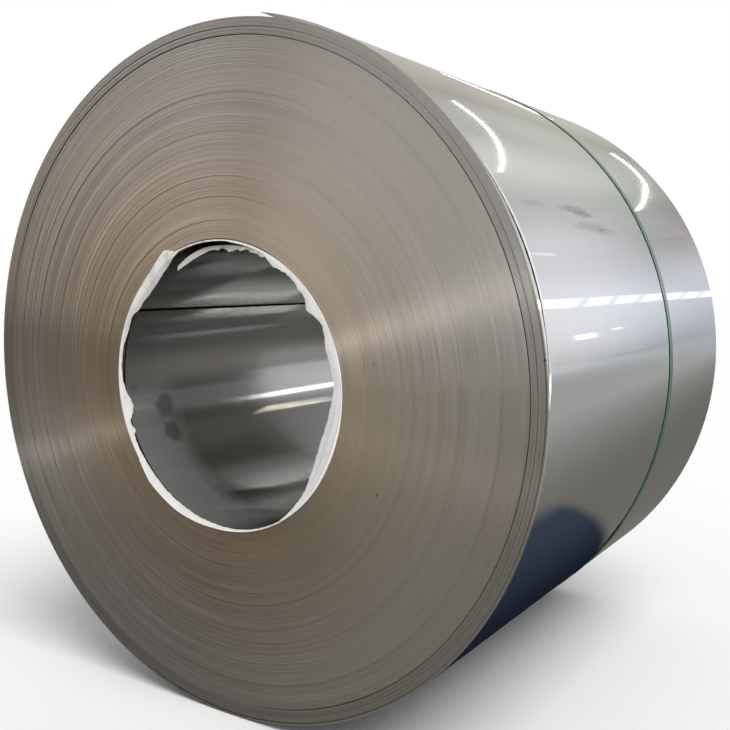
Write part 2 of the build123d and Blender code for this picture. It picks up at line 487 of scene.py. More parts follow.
# %% Torn shreds at the top
# angle, then outer and inner radius and y, in millimetres
shred_line = (
    (64, 255.0, 252.5, -496.0), (66, 254.5, 250.0, -496.0), (68.5, 254.0, 246.5, -495.0),
    (70.5, 253.5, 249.5, -495.0), (73, 252.5, 246.0, -494.0), (75.5, 251.5, 248.0, -494.0),
    (78, 250.5, 243.5, -493.0), (82, 249.0, 241.0, -492.0), (85, 248.5, 238.0, -491.0),
    (88, 248.0, 241.0, -491.0), (91, 247.5, 239.5, -492.0), (94, 247.5, 240.5, -493.0),
    (98, 246.5, 236.5, -495.0), (102, 244.0, 232.5, -497.0), (108, 239.0, 227.5, -499.0),
    (114, 232.5, 223.5, -501.0),
)


def shred_place(row, angle):
    """Point of the shreds, which are ragged except near the left end, where they are held."""
    outer, inner, y = table_row(shred_line, angle)
    flat = on_section(outer + (inner - outer) * row, angle, y)
    loose = min(1.0, max(0.0, (100 - angle) / 12))
    ragged = (noise.noise(flat * 150) * 0.0035 + noise.noise(flat * 420) * 0.0020) * row ** 2 * loose
    bow = crumple(flat, 0.02, 0.0026 * loose + 0.0004) + (0.5 - row) * 0.004
    return on_section(outer + (inner - outer) * row + ragged, angle, y + bow)


print(len(shred_line), "rows for the shreds")

# %% Spin the shreds and the collar
collar_rows = (-1.0, -0.5, 0.0, 0.05, 0.12, 0.2, 0.28, 0.36, 0.44, 0.52, 0.6, 0.68, 0.76, 0.84, 0.92, 1.0)
shred_rows = (0.0, 0.15, 0.35, 0.5, 0.65, 0.85, 1.0)
bm = bmesh.new()
fold_layer = bm.verts.layers.float.new("from_fold")
spot_layer = bm.verts.layers.int.new("spot")
spin_section(bm, shred_rows, 64.0, 114.0, 150, shred_place, closed=False)
sheet_faces = spin_section(bm, collar_rows, collar_start, collar_start + 360, 720, collar_place,
                           closed=False, merge=True)
for face in sheet_faces:
    for vert in face.verts:
        vert[fold_layer] = collar_rows[vert[spot_layer]]
bmesh.ops.remove_doubles(bm, verts=bm.verts, dist=2e-6)
bmesh.ops.recalc_face_normals(bm, faces=bm.faces)
paper_area = sum(face.calc_area() for face in bm.faces)
collar = finish_mesh("paper_collar", bm, [collar_paper])
thick = collar.modifiers.new("paper", "SOLIDIFY")
thick.thickness, thick.offset = 0.0003, 0.0
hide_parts("bore_paper")
print(f"paper {paper_area:.4f} m2")

# %% [markdown]
# ## Shared effects
# Four node groups hold what several finishes share. Rings gives a tone that changes with the distance from the axis,
# grain gives fine lines around the coil such as rolling leaves, spot gives a soft-edged mark, and side is 1 around one
# angle of the section. Painted pictures could carry the same, but these follow the shape at any distance.

# %% Helpers for nodes
def add_node(tree, kind, **values):
    """New node, with its properties or its inputs set by name."""
    node = tree.nodes.new(kind)
    for name, value in values.items():
        if name in node.bl_rna.properties.keys():
            setattr(node, name, value)
        else:
            node.inputs[name.replace("_", " ")].default_value = value
    return node


def connect(tree, value, socket):
    """Links a socket into another one, or sets that one to a plain value."""
    if isinstance(value, bpy.types.NodeSocket):
        tree.links.new(value, socket)
    else:
        socket.default_value = value


def calc(tree, operation, *values):
    """Math node with sockets or plain numbers as inputs."""
    node = add_node(tree, "ShaderNodeMath", operation=operation)
    for socket, value in zip(node.inputs, values):
        connect(tree, value, socket)
    return node.outputs[0]


def vector_calc(tree, operation, *values):
    """Vector math node with sockets or plain vectors as inputs."""
    node = add_node(tree, "ShaderNodeVectorMath", operation=operation)
    for socket, value in zip(node.inputs, values):
        connect(tree, value, socket)
    return node.outputs["Value" if operation in ("LENGTH", "DISTANCE", "DOT_PRODUCT") else "Vector"]


print("helpers for single nodes ready")


# %% Helpers for coordinates and noise
def split_xyz(tree, vector):
    """The three parts of a vector."""
    node = add_node(tree, "ShaderNodeSeparateXYZ")
    tree.links.new(vector, node.inputs[0])
    return node.outputs[0], node.outputs[1], node.outputs[2]


def join_xyz(tree, *parts):
    """A vector of three parts."""
    node = add_node(tree, "ShaderNodeCombineXYZ")
    for socket, value in zip(node.inputs, parts):
        connect(tree, value, socket)
    return node.outputs[0]


def noise_tone(tree, vector, **values):
    """Grey noise, around 0.5."""
    node = add_node(tree, "ShaderNodeTexNoise", **values)
    tree.links.new(vector, node.inputs["Vector"])
    return node.outputs["Fac"]


def polar(tree, vector):
    """Radius and direction around the axis, from object coordinates."""
    moved = vector_calc(tree, "MULTIPLY_ADD", vector, (1, 0, 1), (0, 0, -axis_z))
    return vector_calc(tree, "LENGTH", moved), vector_calc(tree, "NORMALIZE", moved)


def new_group(name, vectors, numbers, masks):
    """Empty node group that takes vectors and numbers and gives masks, with its sockets from inside."""
    group = bpy.data.node_groups.new(name, "ShaderNodeTree")
    for label in vectors:
        group.interface.new_socket(label, in_out="INPUT", socket_type="NodeSocketVector")
    for label, value in numbers.items():
        socket = group.interface.new_socket(label, in_out="INPUT", socket_type="NodeSocketFloat")
        socket.default_value = value
    for label in masks:
        group.interface.new_socket(label, in_out="OUTPUT", socket_type="NodeSocketFloat")
    return group, add_node(group, "NodeGroupInput").outputs, add_node(group, "NodeGroupOutput").inputs


print("helpers for coordinates ready, axis at", axis_z)

# %% Rings
rings, given, result = new_group("rings", ["Vector"], {"Pitch": 0.004}, ["Tone", "Lines"])
radius, direction = polar(rings, given["Vector"])
around_x, _, around_z = split_xyz(rings, vector_calc(rings, "MULTIPLY", direction, (1.3, 1.3, 1.3)))
unrolled = join_xyz(rings, calc(rings, "DIVIDE", radius, given["Pitch"]), around_x, around_z)
fine = noise_tone(rings, unrolled, Scale=1.0, Detail=2.0, Roughness=0.6)
broad = noise_tone(rings, unrolled, Scale=0.13, Detail=3.0, Roughness=0.55)
mixed = calc(rings, "ADD", calc(rings, "MULTIPLY", fine, 0.6), calc(rings, "MULTIPLY", broad, 0.4))
rings.links.new(mixed, result["Tone"])
rings.links.new(fine, result["Lines"])
print("group", rings.name, len(rings.nodes), "nodes")

# %% Grain
grain, given, result = new_group("grain", ["Vector"], {"Lines": 900.0}, ["Lines", "Wave"])
_, direction = polar(grain, given["Vector"])
_, along_axis, _ = split_xyz(grain, given["Vector"])
around_x, _, around_z = split_xyz(grain, direction)
unrolled = join_xyz(grain, calc(grain, "MULTIPLY", along_axis, given["Lines"]),
                    calc(grain, "MULTIPLY", around_x, 3.0), calc(grain, "MULTIPLY", around_z, 3.0))
grain.links.new(noise_tone(grain, unrolled, Scale=1.0, Detail=3.0, Roughness=0.65), result["Lines"])
grain.links.new(noise_tone(grain, given["Vector"], Scale=4.5, Detail=1.0, Roughness=0.4), result["Wave"])
print("group", grain.name, len(grain.nodes), "nodes")

# %% Spot
spot, given, result = new_group("spot", ["Vector", "Centre", "Squeeze"], {"Size": 0.02}, ["Mask"])
offset = vector_calc(spot, "SUBTRACT", given["Vector"], given["Centre"])
away = vector_calc(spot, "LENGTH", vector_calc(spot, "MULTIPLY", offset, given["Squeeze"]))
blot = noise_tone(spot, given["Vector"], Scale=70.0, Detail=3.0)
fade = add_node(spot, "ShaderNodeMapRange", interpolation_type="SMOOTHSTEP", To_Min=1.0, To_Max=0.0)
spot.links.new(calc(spot, "MULTIPLY", away, calc(spot, "ADD", blot, 0.5)), fade.inputs["Value"])
spot.links.new(calc(spot, "MULTIPLY", given["Size"], 0.45), fade.inputs["From Min"])
spot.links.new(given["Size"], fade.inputs["From Max"])
spot.links.new(fade.outputs["Result"], result["Mask"])
print("group", spot.name, len(spot.nodes), "nodes")

# %% Side
side, given, result = new_group("side", ["Vector", "Direction"], {"Reach": 0.5, "Full": 0.9}, ["Mask"])
_, direction = polar(side, given["Vector"])
fade = add_node(side, "ShaderNodeMapRange")
side.links.new(vector_calc(side, "DOT_PRODUCT", direction, given["Direction"]), fade.inputs["Value"])
side.links.new(given["Reach"], fade.inputs["From Min"])
side.links.new(given["Full"], fade.inputs["From Max"])
side.links.new(fade.outputs["Result"], result["Mask"])
print("group", side.name, len(side.nodes), "nodes")


# %% Helpers for finishes
def place_group(tree, group, vector, **values):
    """A shared effect in a material, with the coordinates linked."""
    node = add_node(tree, "ShaderNodeGroup", node_tree=group)
    tree.links.new(vector, node.inputs["Vector"])
    for name, value in values.items():
        node.inputs[name].default_value = value
    return node.outputs


def facing_side(tree, coords, angle, reach, full):
    """1 around an angle on the section and 0 beyond its reach, in degrees."""
    direction = on_section(1.0, angle, 0) - axis_point
    return place_group(tree, side, coords, Direction=direction, Reach=cos(radians(reach)),
                       Full=cos(radians(full)))["Mask"]


def spot_mask(tree, coords, centre, size, squeeze):
    """1 on a soft-edged mark."""
    return place_group(tree, spot, coords, Centre=centre, Size=size, Squeeze=squeeze)["Mask"]


def blend_color(tree, factor, a, b, kind="MIX"):
    """Mix of two colours, each a socket or a plain colour."""
    node = add_node(tree, "ShaderNodeMix", data_type="RGBA", blend_type=kind)
    for socket, value in ((node.inputs[0], factor), (node.inputs[6], a), (node.inputs[7], b)):
        connect(tree, value, socket)
    return node.outputs[2]


def remap(tree, value, low, high, new_low, new_high):
    """Straight ramp between two values, flat beyond them."""
    node = add_node(tree, "ShaderNodeMapRange", From_Min=low, From_Max=high, To_Min=new_low, To_Max=new_high)
    tree.links.new(value, node.inputs["Value"])
    return node.outputs["Result"]


def line_at(tree, value, centre, reach):
    """1 where a value equals the centre, and 0 where it is more than the reach away."""
    return remap(tree, calc(tree, "ABSOLUTE", calc(tree, "SUBTRACT", value, centre)), 0.0, reach, 1.0, 0.0)


print("helpers for masks and colours ready")


# %% Start a finish
def start_finish(material, **values):
    """Principled shader, its output and the object coordinates."""
    tree = material.node_tree
    shader = add_node(tree, "ShaderNodeBsdfPrincipled", **values)
    out = add_node(tree, "ShaderNodeOutputMaterial")
    tree.links.new(shader.outputs[0], out.inputs[0])
    return tree, shader, add_node(tree, "ShaderNodeTexCoord").outputs["Object"]


def add_bump(tree, shader, height, distance, strength, below=None):
    """Bump on a shader, over another bump where one is given."""
    bump = add_node(tree, "ShaderNodeBump", Strength=strength, Distance=distance)
    tree.links.new(height, bump.inputs["Height"])
    if below is not None:
        tree.links.new(below, bump.inputs["Normal"])
    tree.links.new(bump.outputs[0], shader.inputs["Normal"])
    return bump.outputs[0]


def tell(material):
    """Prints how many nodes a finish has."""
    print(material.name, len(material.node_tree.nodes), "nodes")


print("finishes to make:", [material.name for material in bpy.data.materials])

# %% [markdown]
# ## The wound edges
# The edges are sheared, not polished: a warm grey, with gloss that stretches across the rings as on a record. The
# single rings are modelled, but hardly wider than a pixel at this distance, so their gloss is an anisotropic shader
# along the radius and their tone the rings group. The rim gets a painted highlight, a bright band in its colour, where
# the last turn lies back, and three small nicks are painted as dark shade, because they are no deeper than the rings.

# %% Finish of the wound edges
inner_tint, outer_tint, rim_tint = (0.555, 0.475, 0.375, 1), (0.517, 0.493, 0.463, 1), (0.43, 0.42, 0.405, 1)
painted_highlight_tint, ring_shadow, nick_shadow = (0.90, 0.89, 0.87, 1), (0.20, 0.18, 0.15, 1), (0.08, 0.07, 0.05, 1)
# small nicks in the front end, painted as dark shade: radius, angle, squeeze, size and strength
edge_nicks = (
    (0.3594, -24.5, (2.6, 0.05, 1.0), 0.0045, 0.85), (0.3268, 10.7, (1.2, 0.05, 1.0), 0.0032, 0.5),
    (0.6080, 7.6, (1.0, 0.05, 2.6), 0.0045, 0.8),
)
tree, shader, coords = start_finish(strip_edge, Metallic=1.0, Anisotropic=1.0)
ring_tone = place_group(tree, rings, coords, Pitch=0.0021)
from_axis, outward = polar(tree, coords)
tint = blend_color(tree, remap(tree, from_axis, 0.26, 0.50, 0.0, 1.0), inner_tint, outer_tint)
tint = blend_color(tree, remap(tree, from_axis, 0.580, 0.586, 0.0, 1.0), tint, rim_tint)
# painted highlight: a near-white band in the rim's colour where the last turn lies back
on_rim = remap(tree, from_axis, 0.6098, 0.6106, 0.0, 1.0)
painted_rim_highlight = calc(tree, "MULTIPLY", on_rim, facing_side(tree, coords, bare_angle, 36, 20))
tint = blend_color(tree, painted_rim_highlight, tint, painted_highlight_tint)
color = blend_color(tree, remap(tree, ring_tone["Tone"], 0.34, 0.66, 0.32, 0.0), tint, ring_shadow)
# painted shade: each nick is a near-black spot in the edges' colour
for radius, angle, squeeze, size, strength in edge_nicks:
    mask = spot_mask(tree, coords, on_section(radius, angle, -half_width), size, squeeze)
    color = blend_color(tree, calc(tree, "MULTIPLY", mask, strength), color, nick_shadow)
tree.links.new(color, shader.inputs["Base Color"])
tree.links.new(remap(tree, ring_tone["Lines"], 0.3, 0.7, 0.31, 0.39), shader.inputs["Roughness"])
tree.links.new(outward, shader.inputs["Tangent"])
tell(strip_edge)

# %% [markdown]
# ## The bright strip
# The outside is as it left the rolls: nearly a mirror, with fine lines, faint waves and the smudges and the long bright
# scratch that handling leaves. The waves are a weak bump, because modelled ones would show at the outline. The marks
# are soft spots, placed by angle and by distance along the axis.

# %% Finish of the outside
dark, pale, pink = (0.14, 0.14, 0.14, 1), (0.95, 0.95, 0.95, 1), (0.75, 0.42, 0.42, 1)
smear, scratch, round_mark = (8.0, 1.0, 8.0), (26.0, 1.0, 26.0), (1.0, 1.0, 1.0)
line_tint = (0.40, 0.40, 0.40, 1)
# angle, place along the axis, size, squeeze, colour and strength
outside_marks = (
    (29.6, -0.225, 0.075, smear, dark, 0.45), (28.9, -0.190, 0.055, smear, dark, 0.45),
    (26.8, -0.180, 0.095, smear, dark, 0.24), (26.2, -0.110, 0.070, smear, dark, 0.24),
    (29.6, -0.395, 0.060, smear, dark, 0.16), (21.7, -0.440, 0.075, scratch, pale, 0.9),
    (28.2, 0.400, 0.090, smear, pink, 0.4), (27.2, 0.280, 0.080, smear, pink, 0.3),
)


def bright_finish(material, tint, smoothest, roughest, radius, marks, **values):
    """Rolled finish with lines, waves and marks. Its colour is returned, to be linked last."""
    tree, shader, coords = start_finish(material, Metallic=1.0, **values)
    lines = place_group(tree, grain, coords, Lines=420.0)
    color = blend_color(tree, remap(tree, lines["Lines"], 0.3, 0.7, 0.0, 0.2), tint, line_tint)
    rough = remap(tree, lines["Lines"], 0.3, 0.7, smoothest, roughest)
    for angle, y, size, squeeze, stain, strength in marks:
        mask = spot_mask(tree, coords, on_section(radius, angle, y), size, squeeze)
        color = blend_color(tree, calc(tree, "MULTIPLY", mask, strength), color, stain)
        rough = calc(tree, "ADD", rough, calc(tree, "MULTIPLY", mask, 0.12))
    tree.links.new(rough, shader.inputs["Roughness"])
    add_bump(tree, shader, lines["Wave"], 0.01, 0.03)
    return tree, shader, coords, color


tree, shader, coords, color = bright_finish(
    strip_face, (0.66, 0.665, 0.655, 1), 0.03, 0.055, tail_radius, outside_marks)
tree.links.new(color, shader.inputs["Base Color"])
tell(strip_face)

# %% [markdown]
# ## The bore
# In the bore the same strip is duller, and its lines stretch the gloss along the axis. On the lower left a film of dust
# takes some of the metal's shine near the mouth, and a dark seam of painted shade runs where the paper stands off the
# wall. Both are masks by angle and place along the axis: a real gap is possible, but the collar is too thin there to
# show one.

# %% Finish of the bore
bore_marks = (
    (-166, -0.395, 0.032, round_mark, dark, 0.8), (-154, -0.393, 0.029, round_mark, dark, 0.8),
    (-163, -0.180, 0.012, round_mark, dark, 0.6), (-176, -0.470, 0.014, round_mark, dark, 0.5),
)
seam_shadow = (0.012, 0.012, 0.012, 1)
tree, shader, coords, color = bright_finish(
    bore_face, (0.47, 0.47, 0.46, 1), 0.10, 0.14, bore_radius, bore_marks, Anisotropic=0.9)
tree.links.new(join_xyz(tree, 0.0, 1.0, 0.0), shader.inputs["Tangent"])
_, along_axis, _ = split_xyz(tree, coords)
# painted shade: a near-black seam on the wall just behind the paper's edge, on the left
at_paper = remap(tree, along_axis, -0.4890, -0.4875, 1.0, 0.0)
painted_seam_shade = calc(tree, "MULTIPLY", at_paper, facing_side(tree, coords, -170, 62, 40))
tree.links.new(blend_color(tree, painted_seam_shade, color, seam_shadow), shader.inputs["Base Color"])
near_mouth = remap(tree, along_axis, -0.395, -0.345, 1.0, 0.0)
dust = calc(tree, "MULTIPLY", near_mouth, facing_side(tree, coords, -130, 72.54, 31.79))
tree.links.new(remap(tree, dust, 0.0, 1.0, 1.0, 0.68), shader.inputs["Metallic"])
tell(bore_face)

# %% [markdown]
# ## The strap's plastic
# Polyester strap is dyed right through and glossy. It could be see-through, but on bright steel it looks solid, so it
# is a plain dark green with a strong sheen and a little unevenness in the dye.

# %% Finish of the strap
dark_green, light_green = (0.007, 0.068, 0.023, 1), (0.020, 0.135, 0.049, 1)
tree, shader, coords = start_finish(strap_plastic, Roughness=0.22, Specular_IOR_Level=1.0)
dye = noise_tone(tree, coords, Scale=60.0, Detail=3.0)
tree.links.new(blend_color(tree, dye, dark_green, light_green), shader.inputs["Base Color"])
tell(strap_plastic)

# %% [markdown]
# ## The paper
# The paper is white, clouded and matt. On the right its lip by the fold gets a painted highlight and the flap painted
# shade, sharp folds get grey lines of painted shade, and the shreds at the top are soiled, with painted shade on them
# as well. The folds could be modelled sharper, but they are thinner than the mesh, so lines are drawn by the distance
# from the fold, which the mesh carries as an attribute.

# %% Painted highlight on the lip, painted shade on the flap and the folds
old_paper, clean_paper, painted_lip_highlight_color = (0.70, 0.675, 0.63, 1), (0.90, 0.885, 0.86, 1), (0.97, 0.96, 0.95, 1)
painted_flap_shade_color, corner_shadow, fold_shadow = (0.66, 0.645, 0.66, 1), (0.42, 0.41, 0.40, 1), (0.40, 0.39, 0.40, 1)
tree, shader, coords = start_finish(collar_paper, Roughness=0.85)
cloud = noise_tone(tree, coords, Scale=14.0, Detail=3.0)
paper_color = blend_color(tree, cloud, old_paper, clean_paper)
from_fold = add_node(tree, "ShaderNodeAttribute", attribute_name="from_fold").outputs["Fac"]
right = facing_side(tree, coords, 5, 62, 40)
corner = facing_side(tree, coords, 131, 20, 10)
# painted highlight: the lip by the fold is lighter on the right
painted_lip_highlight = calc(tree, "MULTIPLY", remap(tree, from_fold, 0.24, 0.08, 0.0, 1.0), right)
# painted shade: the flap beyond the lip is greyer on the right
painted_flap_shade = calc(tree, "MULTIPLY", remap(tree, from_fold, 0.16, 0.30, 0.0, 1.0), right)
shade = calc(tree, "MULTIPLY", remap(tree, from_fold, 0.5, 0.72, 0.0, 0.55), corner)
paper_color = blend_color(tree, painted_lip_highlight, paper_color, painted_lip_highlight_color)
paper_color = blend_color(tree, calc(tree, "MULTIPLY", painted_flap_shade, 0.75), paper_color, painted_flap_shade_color)
paper_color = blend_color(tree, shade, paper_color, corner_shadow)
# painted shade: grey lines along the folds, where shade falls in the creases
fold_shade_lines = calc(tree, "MULTIPLY", line_at(tree, from_fold, 0.20, 0.08), right)
for centre, reach, place in ((0.55, 0.07, facing_side(tree, coords, -18, 24, 12)), (0.62, 0.11, corner)):
    fold_shade_line = calc(tree, "MULTIPLY", line_at(tree, from_fold, centre, reach), place)
    fold_shade_lines = calc(tree, "MAXIMUM", fold_shade_lines, fold_shade_line)
painted_fold_shade = calc(tree, "MULTIPLY", fold_shade_lines, remap(tree, cloud, 0.35, 0.65, 0.25, 0.75))
paper_color = blend_color(tree, painted_fold_shade, paper_color, fold_shadow)
tell(collar_paper)

# %% Soil, painted shade on the shreds, and creases
soil_and_shade_tint = (0.17, 0.16, 0.13, 1)
from_axis, _ = polar(tree, coords)
soil = noise_tone(tree, coords, Scale=75.0, Detail=5.0, Roughness=0.65)
soiled = calc(tree, "MULTIPLY", remap(tree, soil, 0.50, 0.64, 0.0, 1.0), facing_side(tree, coords, 102, 36.87, 14.07))
# painted shade: the shreds inward of the fold at the top are darkened as a whole; the noise spots above are grime
torn = calc(tree, "MULTIPLY", remap(tree, from_axis, 0.252, 0.249, 0.0, 1.0),
            facing_side(tree, coords, 102, 21.57, 14.07))
grime_and_shade = calc(tree, "MAXIMUM", calc(tree, "MULTIPLY", soiled, 0.7), calc(tree, "MULTIPLY", torn, 0.6))
paper_color = blend_color(tree, calc(tree, "MULTIPLY", grime_and_shade, 0.75), paper_color, soil_and_shade_tint)
tree.links.new(paper_color, shader.inputs["Base Color"])
crease = noise_tone(tree, coords, noise_type="RIDGED_MULTIFRACTAL", Scale=38.0, Detail=2.0, Roughness=0.5)
fibre = noise_tone(tree, coords, Scale=160.0, Detail=5.0, Roughness=0.7)
add_bump(tree, shader, fibre, 0.0008, 0.4, add_bump(tree, shader, crease, 0.004, 0.5))
tell(collar_paper)

# %% [markdown]
# ## Studio
# Bright metal shows little but its surroundings, so they are part of the picture. A pale floor carries the shadow and
# the world is plain white. A photographed room would mirror more, but here the room is plain shapes only: what the
# metal sees is made from soft lights, a floor card and glowing panels that are hidden from everything but reflections.

# %% World
scene = bpy.context.scene
scene.view_settings.view_transform = "Standard"
room_light, seen_white = 0.52, 1.0
world = bpy.data.worlds.new("white_room")
scene.world = world
world.use_nodes = True
tree = world.node_tree
tree.nodes.clear()
path = add_node(tree, "ShaderNodeLightPath").outputs
seen = calc(tree, "MAXIMUM", calc(tree, "MAXIMUM", path["Is Camera Ray"], path["Is Glossy Ray"]),
            path["Is Transmission Ray"])
sky = add_node(tree, "ShaderNodeBackground", Color=(1, 1, 1, 1))
tree.links.new(remap(tree, seen, 0.0, 1.0, room_light, seen_white), sky.inputs["Strength"])
tree.links.new(sky.outputs[0], add_node(tree, "ShaderNodeOutputWorld").inputs[0])
print("world", world.name, len(tree.nodes), "nodes")


# %% Floor
def stage_object(name, bm, material):
    """A thing of the studio, not of the part."""
    mesh = bpy.data.meshes.new(name)
    bm.to_mesh(mesh)
    bm.free()
    mesh.materials.append(material)
    piece = bpy.data.objects.new(name, mesh)
    scene.collection.objects.link(piece)
    return piece


floor_paint = new_material("pale_floor")
start_finish(floor_paint, Roughness=0.9, Specular_IOR_Level=0.0, Base_Color=(0.95, 0.95, 0.95, 1))
bm = bmesh.new()
bmesh.ops.create_grid(bm, x_segments=1, y_segments=1, size=40)
floor = stage_object("floor", bm, floor_paint)
floor.visible_glossy = False
print("floor", tuple(floor.dimensions))

# %% [markdown]
# ## Tent
# A large tent stands around the coil: soft lights on a dim ground, one set in front of the coil and one behind it.
# Area lamps would light the paper and the floor as well, so the tent only glows in reflections.

# %% Soft lights of the tent
# degrees from the front (or the back) towards +X, degrees up, reach in degrees, colour
front_lights = (
    (-80, 6, 30, (0.80, 0.75, 0.66)), (-50, 6, 30, (0.85, 0.68, 0.46)), (25, 8, 28, (0.28, 0.31, 0.40)),
    (50, 8, 28, (1.46, 1.35, 1.33)), (-80, 30, 34, (1.12, 1.20, 1.36)), (-45, 30, 34, (0.14, 0.15, 0.18)),
    (-10, 28, 34, (1.06, 1.06, 1.07)), (30, 28, 34, (0.22, 0.19, 0.12)), (70, 28, 34, (1.35, 1.32, 1.30)),
    (-70, 55, 34, (0.53, 0.57, 0.66)),
)
back_lights = (
    (-30, 22, 22, (0.32, 0.29, 0.24)), (-3, 28, 13, (0.37, 0.37, 0.35)), (8, 26, 13, (0.27, 0.29, 0.27)),
    (18, 22, 13, (0.18, 0.18, 0.18)), (-10, 14, 14, (0.15, 0.16, 0.12)), (2, 12, 12, (0.07, 0.07, 0.05)),
    (12, 14, 11, (0.15, 0.14, 0.17)), (22, 12, 14, (0.45, 0.46, 0.49)), (5, 3, 12, (0.42, 0.41, 0.45)),
    (14, 4, 10, (0.01, 0.05, 0.10)), (24, 4, 13, (0.43, 0.41, 0.42)), (40, 5, 18, (0.60, 0.59, 0.58)),
    (-85, 25, 34, (0.50, 0.50, 0.50)), (85, 25, 34, (0.50, 0.50, 0.50)), (0, 85, 34, (0.40, 0.40, 0.40)),
)


def only_reflected(piece):
    """Hides a thing of the studio from everything but reflections."""
    piece.visible_camera = piece.visible_diffuse = piece.visible_shadow = False
    piece.visible_transmission = piece.visible_volume_scatter = False


def glowing(name, strength):
    """Emission material, with its tree and its emission node."""
    material = new_material(name)
    tree = material.node_tree
    glow = add_node(tree, "ShaderNodeEmission", Strength=strength)
    tree.links.new(glow.outputs[0], add_node(tree, "ShaderNodeOutputMaterial").inputs[0])
    return material, tree, glow


def smooth_range(tree, value, low, high):
    """Rises smoothly from 0 to 1 between two values, or falls where low is the larger."""
    start, end = (0, 1) if low < high else (1, 0)
    node = add_node(tree, "ShaderNodeMapRange", interpolation_type="SMOOTHSTEP", From_Min=min(low, high),
                    From_Max=max(low, high), To_Min=start, To_Max=end)
    tree.links.new(value, node.inputs["Value"])
    return node.outputs["Result"]


def add_light(tree, total, mask, color):
    """Adds a colour to another one where a mask is 1."""
    return blend_color(tree, mask, total, (*color, 1), kind="ADD")


print(len(front_lights), "soft lights in front,", len(back_lights), "behind")

# %% Put up the tent
tent_size = 60
tent_cloth, tree, glow = glowing("tent_cloth", 1.0)
look = vector_calc(tree, "NORMALIZE", add_node(tree, "ShaderNodeTexCoord").outputs["Object"])
halves = []
for ground, facing, lights in ((0.25, 1, back_lights), (0.02, -1, front_lights)):
    total = (ground, ground, ground, 1)
    for azimuth, height, reach, color in lights:
        level = cos(radians(height))
        aim = (sin(radians(azimuth)) * level, facing * cos(radians(azimuth)) * level, sin(radians(height)))
        mask = smooth_range(tree, vector_calc(tree, "DOT_PRODUCT", look, aim), cos(radians(reach)), 1.0)
        total = add_light(tree, total, mask, color)
    halves.append(total)
_, look_back, _ = split_xyz(tree, look)
tree.links.new(blend_color(tree, smooth_range(tree, look_back, 0.04, -0.04), *halves), glow.inputs["Color"])
bm = bmesh.new()
bmesh.ops.create_uvsphere(bm, u_segments=64, v_segments=32, radius=tent_size)
only_reflected(stage_object("tent", bm, tent_cloth))
tell(tent_cloth)

# %% [markdown]
# ## Floor card
# Steel that lies on the ground mirrors the ground more than anything else. The pale floor would show white in it, so a
# card just beneath takes its place in reflections: mid grey, with painted shadows of the coil, dark blue beside and
# under it and grey behind it, lighter far off, with warm light in front. One card with soft patches does this with less
# trouble than many small ones.

# %% Card beside and behind the coil
card_paint, tree, glow = glowing("card_paint", 1.0)
coords = add_node(tree, "ShaderNodeTexCoord").outputs["Object"]
card_x, card_y, _ = split_xyz(tree, coords)
lane_slant, far_slant = 0.12, 0.37
lane = calc(tree, "SUBTRACT", card_x, calc(tree, "MULTIPLY", card_y, lane_slant))
ground = blend_color(tree, smooth_range(tree, lane, 0.55, 1.75), (0.178, 0.174, 0.155, 1), (0.47, 0.475, 0.47, 1))
ground = blend_color(tree, smooth_range(tree, card_x, -0.5, -1.3), ground, (0.42, 0.42, 0.42, 1))
# painted shadow: darker grey on the ground right behind the coil's back opening
painted_shadow_behind = smooth_range(tree, vector_calc(tree, "DISTANCE", coords, (-0.1, 1.1, 0)), 0.55, 0.15)
ground = blend_color(tree, painted_shadow_behind, ground, (0.27, 0.265, 0.25, 1))
bearing = calc(tree, "SUBTRACT", card_x, calc(tree, "MULTIPLY", card_y, far_slant))
far = blend_color(tree, smooth_range(tree, bearing, -3.0, 2.5), (0.52, 0.55, 0.59, 1), (0.78, 0.80, 0.83, 1))
far_off = smooth_range(tree, vector_calc(tree, "DISTANCE", coords, (0, 0, 0)), 8.0, 26.0)
ground = blend_color(tree, far_off, ground, far)
# painted shadow: dark blue where the coil shadows the ground beside and under it
under = calc(tree, "MULTIPLY", smooth_range(tree, card_y, 0.80, 0.68), smooth_range(tree, card_x, -1.2, -0.6))
under = calc(tree, "MULTIPLY", under, smooth_range(tree, card_x, 0.92, 0.76))
painted_coil_shadow = blend_color(tree, smooth_range(tree, card_x, 0.32, 0.80), (0.010, 0.014, 0.024, 1), (0.050, 0.064, 0.096, 1))
ground = blend_color(tree, under, ground, painted_coil_shadow)
tell(card_paint)

# %% Card in front of the coil
# centre, reach and colour of the patches of light
front_patches = (
    ((0.3, -1.0, 0), 0.8, (0.43, 0.42, 0.39)), ((0.3, -2.2, 0), 1.3, (1.04, 0.97, 0.87)),
    ((0, -4.2, 0), 2.2, (1.36, 1.33, 1.24)), ((0, -9, 0), 5.0, (1.77, 1.72, 1.58)),
    ((-7, -6, 0), 5.0, (0.61, 0.53, 0.43)), ((-2.8, -3.0, 0), 2.0, (0.41, 0.33, 0.12)),
    ((-2.4, -1.25, 0), 0.26, (12.0, 11.6, 11.0)),
)
card_size, card_drop = 59, 0.004
front = (0.01, 0.01, 0.01, 1)
for centre, reach, color in front_patches:
    mask = smooth_range(tree, vector_calc(tree, "DISTANCE", coords, centre), reach, 0.0)
    front = add_light(tree, front, mask, color)
in_front = smooth_range(tree, card_y, -0.46, -0.54)
tree.links.new(blend_color(tree, in_front, ground, front), glow.inputs["Color"])
bm = bmesh.new()
bmesh.ops.create_grid(bm, x_segments=1, y_segments=1, size=card_size)
bmesh.ops.translate(bm, vec=(0, 0, -card_drop), verts=bm.verts)
only_reflected(stage_object("floor_card", bm, card_paint))
tell(card_paint)

